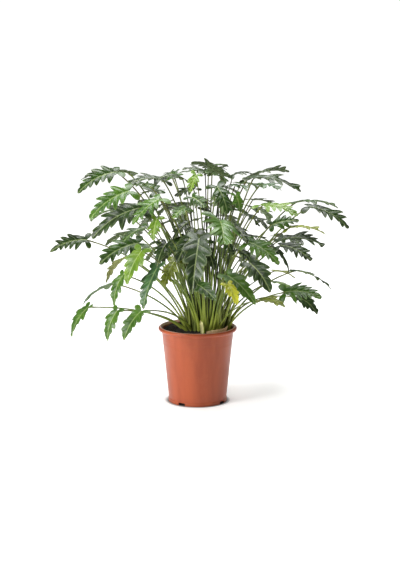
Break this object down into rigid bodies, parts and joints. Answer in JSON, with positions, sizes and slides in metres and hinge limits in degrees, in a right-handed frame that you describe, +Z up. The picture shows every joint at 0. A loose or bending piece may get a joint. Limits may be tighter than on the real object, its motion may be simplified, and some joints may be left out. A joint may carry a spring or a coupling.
{
  "type": "potted philodendron",
  "caption": "Compact philodendron with deeply lobed green leaves on arching stalks, standing in a plain round terracotta-coloured plastic nursery pot filled with peat.",
  "frame": {"origin": "middle of the pot's foot, on the ground", "axes": "+Z up, -Y towards the plant's front, +X to the right as seen from the front"},
  "size_m": [0.8, 0.66, 0.6594],
  "materials": {
    "pot": "satin",
    "soil": "matte",
    "crown": "satin",
    "sheath": "matte",
    "leaf": "satin"
  },
  "bodies": {
    "root": {"pot": "pot", "soil": "soil", "crown_1": "crown", "crown_2": "crown", "crown_3": "crown", "crown_4": "crown", "sheath_1": "sheath", "sheath_2": "sheath", "leaf_01": "leaf", "leaf_02": "leaf", "leaf_03": "leaf", "leaf_04": "leaf", "leaf_05": "leaf", "leaf_06": "leaf", "leaf_07": "leaf", "leaf_08": "leaf", "leaf_09": "leaf", "leaf_10": "leaf", "leaf_11": "leaf", "leaf_12": "leaf", "leaf_13": "leaf", "leaf_14": "leaf", "leaf_15": "leaf", "leaf_16": "leaf", "leaf_17": "leaf", "leaf_18": "leaf", "leaf_19": "leaf", "leaf_20": "leaf", "leaf_21": "leaf", "leaf_22": "leaf", "leaf_23": "leaf", "leaf_24": "leaf", "leaf_25": "leaf", "leaf_26": "leaf", "leaf_27": "leaf", "leaf_28": "leaf", "leaf_29": "leaf", "leaf_30": "leaf", "leaf_31": "leaf", "leaf_32": "leaf", "leaf_33": "leaf", "leaf_34": "leaf", "leaf_35": "leaf", "leaf_36": "leaf", "leaf_37": "leaf", "leaf_38": "leaf", "leaf_39": "leaf", "leaf_40": "leaf", "leaf_41": "leaf", "leaf_42": "leaf", "leaf_43": "leaf", "leaf_44": "leaf", "leaf_45": "leaf", "leaf_46": "leaf", "leaf_47": "leaf", "leaf_48": "leaf", "leaf_49": "leaf", "leaf_50": "leaf", "leaf_51": "leaf", "leaf_52": "leaf"}
  },
  "joints": []
}
